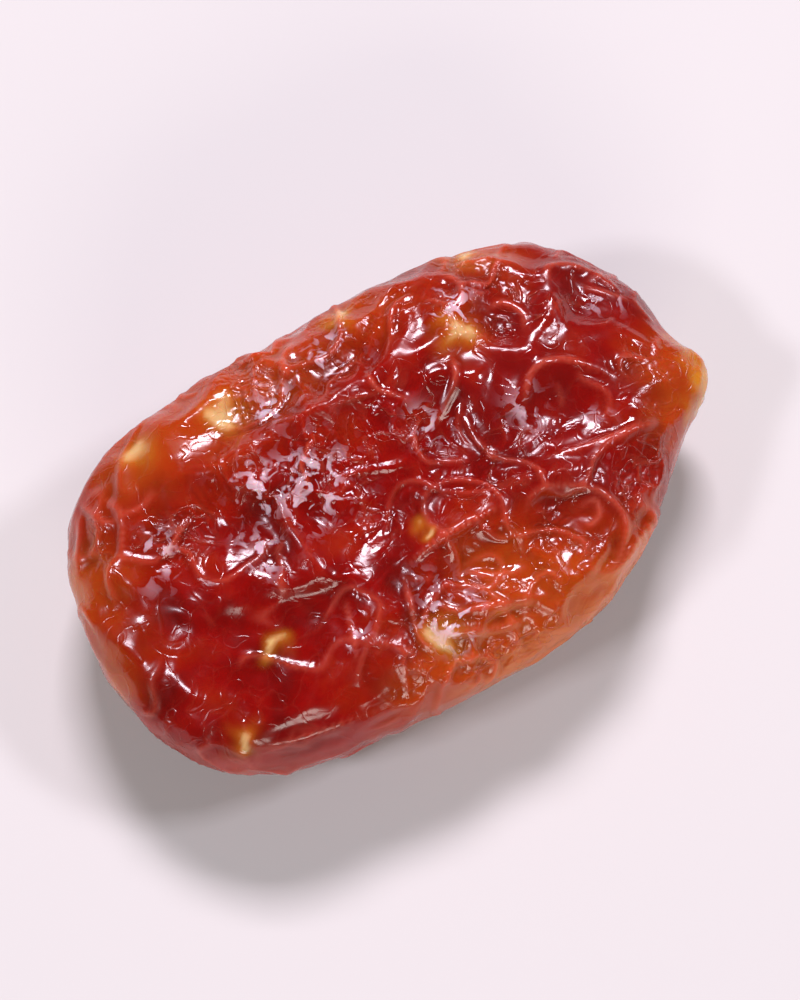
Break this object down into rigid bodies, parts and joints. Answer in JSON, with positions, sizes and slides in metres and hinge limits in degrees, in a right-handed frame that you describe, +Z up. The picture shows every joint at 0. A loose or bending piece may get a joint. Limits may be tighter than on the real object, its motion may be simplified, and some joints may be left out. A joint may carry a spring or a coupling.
{
  "type": "dried cherry tomato",
  "caption": "Dried cherry tomato: an oblong, flattened, wrinkled fruit with a sunken upper face, a rolled rim and a pointed tip, resting on a small flat spot.",
  "frame": {"origin": "on the resting surface, under the middle of the fruit's box", "axes": "+X along the fruit towards its pointed tip, +Y across it, +Z up through the sunken face"},
  "size_m": [0.034, 0.0208, 0.011],
  "materials": {
    "dried_skin": "glossy, slightly sticky, translucent red-amber skin drawn tight over dried flesh, with thin pale wrinkle crests, an orange rim and a yellow tip"
  },
  "bodies": {
    "root": {"dried_cherry": "dried_skin"}
  },
  "joints": []
}
